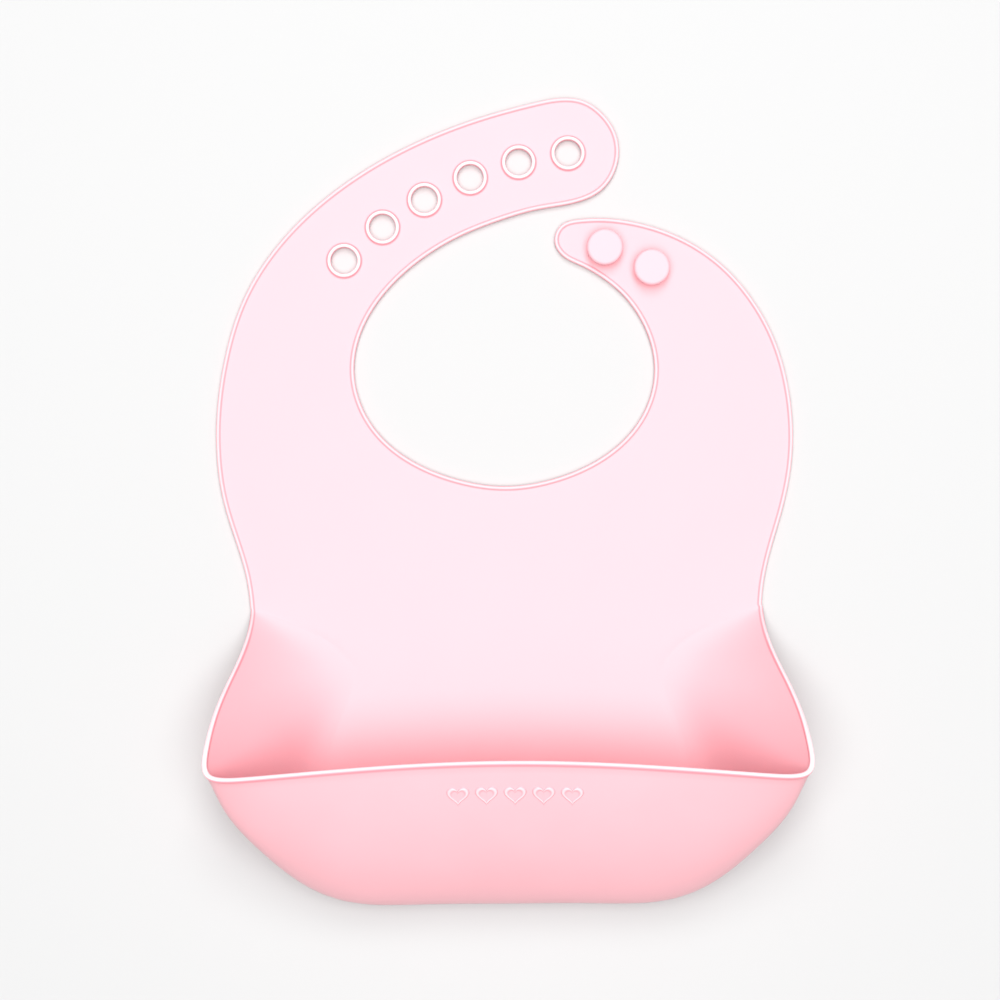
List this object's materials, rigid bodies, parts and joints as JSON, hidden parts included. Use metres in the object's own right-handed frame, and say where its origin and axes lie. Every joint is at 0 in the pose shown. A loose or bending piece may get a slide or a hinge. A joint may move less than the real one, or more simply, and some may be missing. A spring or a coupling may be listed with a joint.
{
  "type": "silicone bib",
  "caption": "Soft silicone baby bib with a scoop pocket at the bottom, a long neck strap with collared holes and a short strap with mushroom studs.",
  "frame": {"origin": "middle of the bib's box, on the plane of its back face", "axes": "+Y towards the neck straps, +Z out of the front face, +X to the right seen from the front"},
  "size_m": [0.2232, 0.3077, 0.052],
  "materials": {
    "bib_silicone": "matte satin silicone, pale pink",
    "stud_silicone": "matte satin silicone, pale pink"
  },
  "bodies": {
    "chest": {"chest_panel": "bib_silicone"},
    "lower": {"lower_panel": "bib_silicone", "pocket_floor": "bib_silicone", "pocket_side_left": "bib_silicone", "pocket_side_right": "bib_silicone", "pocket_rim_left": "bib_silicone", "pocket_rim_right": "bib_silicone"},
    "pocket_front": {"pocket_front_wall": "bib_silicone", "pocket_rim_front": "bib_silicone"},
    "hole_strap_1": {"hole_strap_link_1": "bib_silicone"},
    "hole_strap_2": {"hole_strap_link_2": "bib_silicone", "hole_collar_1": "bib_silicone", "hole_collar_2": "bib_silicone"},
    "hole_strap_3": {"hole_strap_link_3": "bib_silicone", "hole_collar_3": "bib_silicone", "hole_collar_4": "bib_silicone"},
    "hole_strap_4": {"hole_strap_link_4": "bib_silicone", "hole_collar_5": "bib_silicone", "hole_collar_6": "bib_silicone"},
    "button_strap_1": {"button_strap_link_1": "bib_silicone", "button_stud_1": "stud_silicone"},
    "button_strap_2": {"button_strap_link_2": "bib_silicone", "button_stud_2": "stud_silicone"}
  },
  "joints": [
    {"name": "waist_fold", "type": "hinge", "parent": "chest", "child": "lower", "pos_m": [0, -0.03, 0.0014], "axis": [1, 0, 0], "range_deg": [-90, 45], "stiffness_Nm_per_rad": 0.05},
    {"name": "pocket_front_flex", "type": "hinge", "parent": "lower", "child": "pocket_front", "pos_m": [0, -0.15, 0.021], "axis": [1, 0, 0], "range_deg": [-25, 20], "stiffness_Nm_per_rad": 0.3, "deforming": ["pocket_side_left", "pocket_side_right", "pocket_rim_left", "pocket_rim_right"]},
    {"name": "hole_strap_bend_1", "type": "hinge", "parent": "chest", "child": "hole_strap_1", "pos_m": [-0.08036, 0.06785, 0.0014], "axis": [-0.829, 0.5592, 0], "range_deg": [-25, 40], "stiffness_Nm_per_rad": 0.02},
    {"name": "hole_strap_bend_2", "type": "hinge", "parent": "hole_strap_1", "child": "hole_strap_2", "pos_m": [-0.06822, 0.08345, 0.0014], "axis": [-0.7455, 0.6665, 0], "range_deg": [-25, 40], "stiffness_Nm_per_rad": 0.02},
    {"name": "hole_strap_bend_3", "type": "hinge", "parent": "hole_strap_2", "child": "hole_strap_3", "pos_m": [-0.03882, 0.1086, 0.0014], "axis": [-0.5432, 0.8396, 0], "range_deg": [-25, 40], "stiffness_Nm_per_rad": 0.02},
    {"name": "hole_strap_bend_4", "type": "hinge", "parent": "hole_strap_3", "child": "hole_strap_4", "pos_m": [-0.00371, 0.12514, 0.0014], "axis": [-0.3015, 0.9535, 0], "range_deg": [-25, 40], "stiffness_Nm_per_rad": 0.02},
    {"name": "button_strap_bend_1", "type": "hinge", "parent": "chest", "child": "button_strap_1", "pos_m": [0.0702, 0.075, 0.0014], "axis": [-0.83, -0.5577, 0], "range_deg": [-25, 40], "stiffness_Nm_per_rad": 0.02},
    {"name": "button_strap_bend_2", "type": "hinge", "parent": "button_strap_1", "child": "button_strap_2", "pos_m": [0.0471, 0.0905, 0.0014], "axis": [-0.4019, -0.9157, 0], "range_deg": [-25, 40], "stiffness_Nm_per_rad": 0.02}
  ],
  "couplings": [
    {"joint": "hole_strap_bend_2", "follows": "hole_strap_bend_1", "ratio": 1},
    {"joint": "hole_strap_bend_3", "follows": "hole_strap_bend_1", "ratio": 1},
    {"joint": "hole_strap_bend_4", "follows": "hole_strap_bend_1", "ratio": 1},
    {"joint": "button_strap_bend_2", "follows": "button_strap_bend_1", "ratio": 1}
  ]
}
